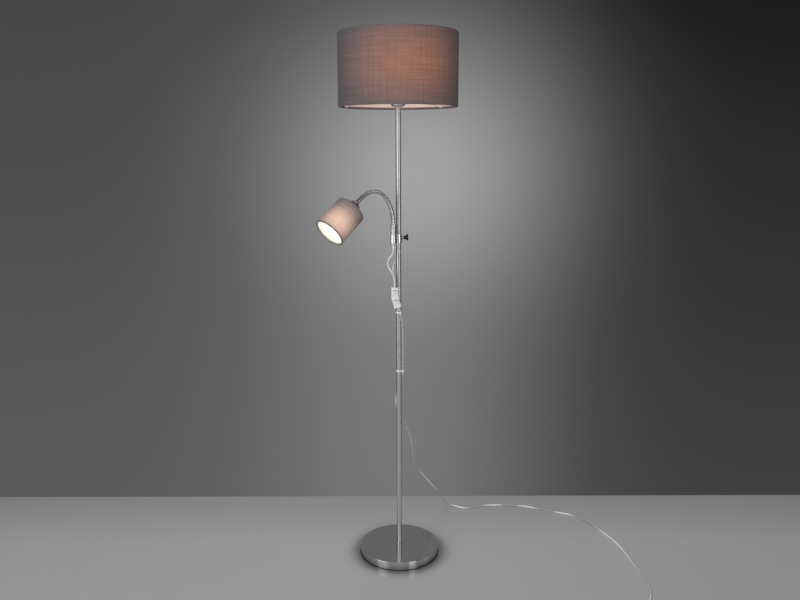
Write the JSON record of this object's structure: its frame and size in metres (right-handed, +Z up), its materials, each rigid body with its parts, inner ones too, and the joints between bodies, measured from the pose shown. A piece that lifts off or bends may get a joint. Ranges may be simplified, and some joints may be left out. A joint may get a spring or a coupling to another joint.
{
  "type": "floor lamp with drum shade and gooseneck reading light",
  "caption": "Floor lamp: round weighted foot, brushed pole, fabric drum shade, and a small drum-shaded reading light on a gooseneck clamped to the pole.",
  "frame": {"origin": "on the floor on the pole's axis, at the middle of the foot's underside", "axes": "+Z up along the pole, -Y to the front, -X to the viewer's left, where the reading light hangs"},
  "size_m": [0.9659, 0.6493, 1.6],
  "materials": {
    "brushed_nickel": "satin nickel, brushed round the pole and in circles on the foot",
    "polished_chrome": "bright chrome plate",
    "gooseneck_chrome": "bright chrome plated steel coil",
    "zinc_steel": "plain zinc-plated steel",
    "shade_frame": "white-painted steel wire and plate",
    "contact_brass": "plain brass",
    "ballast": "rough cast iron",
    "foot_pad": "black foam rubber",
    "black_plastic": "black moulded plastic",
    "white_plastic": "white moulded plastic",
    "shade_cloth": "taupe slub-woven linen cloth",
    "shade_lining": "white lining sheet",
    "opal_glass": "opal white glass",
    "clear_pvc": "clear flexible plastic over pale cores",
    "clear_housing": "translucent moulded plastic"
  },
  "bodies": {
    "root": {"base_cover": "brushed_nickel", "base_weight": "ballast", "base_pad": "foot_pad", "base_nut_and_washer": "zinc_steel", "foot_nipple": "zinc_steel", "foot_collar": "brushed_nickel", "pole_foot_insert": "zinc_steel", "pole_lower": "brushed_nickel", "pole_middle": "brushed_nickel", "pole_couplers": "zinc_steel", "pole_upper": "brushed_nickel", "outlet_grommet": "clear_housing", "pole_top_insert": "zinc_steel", "top_nipple": "zinc_steel", "lamp_lead": "white_plastic", "main_ring_nut": "brushed_nickel", "main_cup": "polished_chrome", "main_holder": "white_plastic", "main_holder_contacts": "contact_brass", "main_shade_nut": "white_plastic", "main_bulb_cap": "zinc_steel", "main_bulb_glass": "opal_glass", "main_shade_liner": "shade_lining", "main_shade_fitter": "shade_frame", "main_shade_ring": "shade_frame", "main_shade_fabric": "shade_cloth", "switch_back": "clear_housing", "switch_front": "clear_housing", "switch_contacts": "contact_brass", "switch_screws": "zinc_steel", "reading_cord": "clear_pvc", "lamp_cord": "clear_pvc", "supply_cord": "clear_pvc", "cord_clips": "clear_housing", "plug_body": "clear_housing", "plug_pins": "contact_brass"},
    "upper_rocker": {"switch_rocker_upper": "white_plastic"},
    "lower_rocker": {"switch_rocker_lower": "white_plastic"},
    "carriage": {"clamp_liner": "white_plastic"},
    "clamp": {"clamp_body": "polished_chrome", "arm_ferrule": "polished_chrome", "cord_gland": "clear_housing", "neck_link_1": "gooseneck_chrome"},
    "wing_screw": {"wing_screw": "black_plastic"},
    "link_2": {"neck_link_2": "gooseneck_chrome"},
    "link_3": {"neck_link_3": "gooseneck_chrome"},
    "link_4": {"neck_link_4": "gooseneck_chrome"},
    "link_5": {"neck_link_5": "gooseneck_chrome"},
    "head": {"neck_link_6": "gooseneck_chrome", "reading_ring_nut": "polished_chrome", "reading_cup": "polished_chrome", "reading_holder": "white_plastic", "reading_holder_contacts": "contact_brass", "reading_shade_nut": "white_plastic", "reading_bulb_cap": "zinc_steel", "reading_bulb_glass": "opal_glass", "reading_shade_liner": "shade_lining", "reading_shade_fitter": "shade_frame", "reading_shade_ring": "shade_frame", "reading_shade_fabric": "shade_cloth"}
  },
  "joints": [
    {"name": "clamp_slide", "type": "slide", "parent": "root", "child": "carriage", "axis": [0, 0, 1], "range_m": [-0.02, 0.01], "deforming": ["reading_cord"]},
    {"name": "clamp_swivel", "type": "hinge", "parent": "carriage", "child": "clamp", "pos_m": [0, 0, 1.0055], "axis": [0, 0, 1], "range_deg": [-120, 120]},
    {"name": "wing_screw_turn", "type": "hinge", "parent": "clamp", "child": "wing_screw", "pos_m": [0.01106, 0.00938, 1.0055], "axis": [0.7627, 0.6468, 0], "range_deg": [0, 360]},
    {"name": "neck_bend_1", "type": "hinge", "parent": "clamp", "child": "link_2", "pos_m": [-0.01912, -0.01621, 1.08241], "axis": [-0.6468, 0.7627, 0], "range_deg": [-12, 12]},
    {"name": "neck_bend_2", "type": "hinge", "parent": "link_2", "child": "link_3", "pos_m": [-0.02889, -0.0245, 1.11413], "axis": [-0.6468, 0.7627, 0], "range_deg": [-12, 12]},
    {"name": "neck_bend_3", "type": "hinge", "parent": "link_3", "child": "link_4", "pos_m": [-0.04671, -0.03961, 1.13875], "axis": [-0.6468, 0.7627, 0], "range_deg": [-12, 12]},
    {"name": "neck_bend_4", "type": "hinge", "parent": "link_4", "child": "link_5", "pos_m": [-0.07147, -0.06062, 1.14843], "axis": [-0.6468, 0.7627, 0], "range_deg": [-12, 12]},
    {"name": "neck_bend_5", "type": "hinge", "parent": "link_5", "child": "head", "pos_m": [-0.09639, -0.08175, 1.13962], "axis": [-0.6468, 0.7627, 0], "range_deg": [-12, 12]},
    {"name": "main_light_rocker", "type": "hinge", "parent": "root", "child": "upper_rocker", "pos_m": [-0.0115, -0.0235, 0.8426], "axis": [-1, 0, 0], "range_deg": [0, 16]},
    {"name": "reading_light_rocker", "type": "hinge", "parent": "root", "child": "lower_rocker", "pos_m": [-0.00747, -0.0235, 0.81445], "axis": [-0.9636, 0, -0.2672], "range_deg": [0, 16]}
  ],
  "couplings": [
    {"joint": "neck_bend_2", "follows": "neck_bend_1", "ratio": 1},
    {"joint": "neck_bend_3", "follows": "neck_bend_1", "ratio": 1},
    {"joint": "neck_bend_4", "follows": "neck_bend_1", "ratio": 1},
    {"joint": "neck_bend_5", "follows": "neck_bend_1", "ratio": 1}
  ]
}
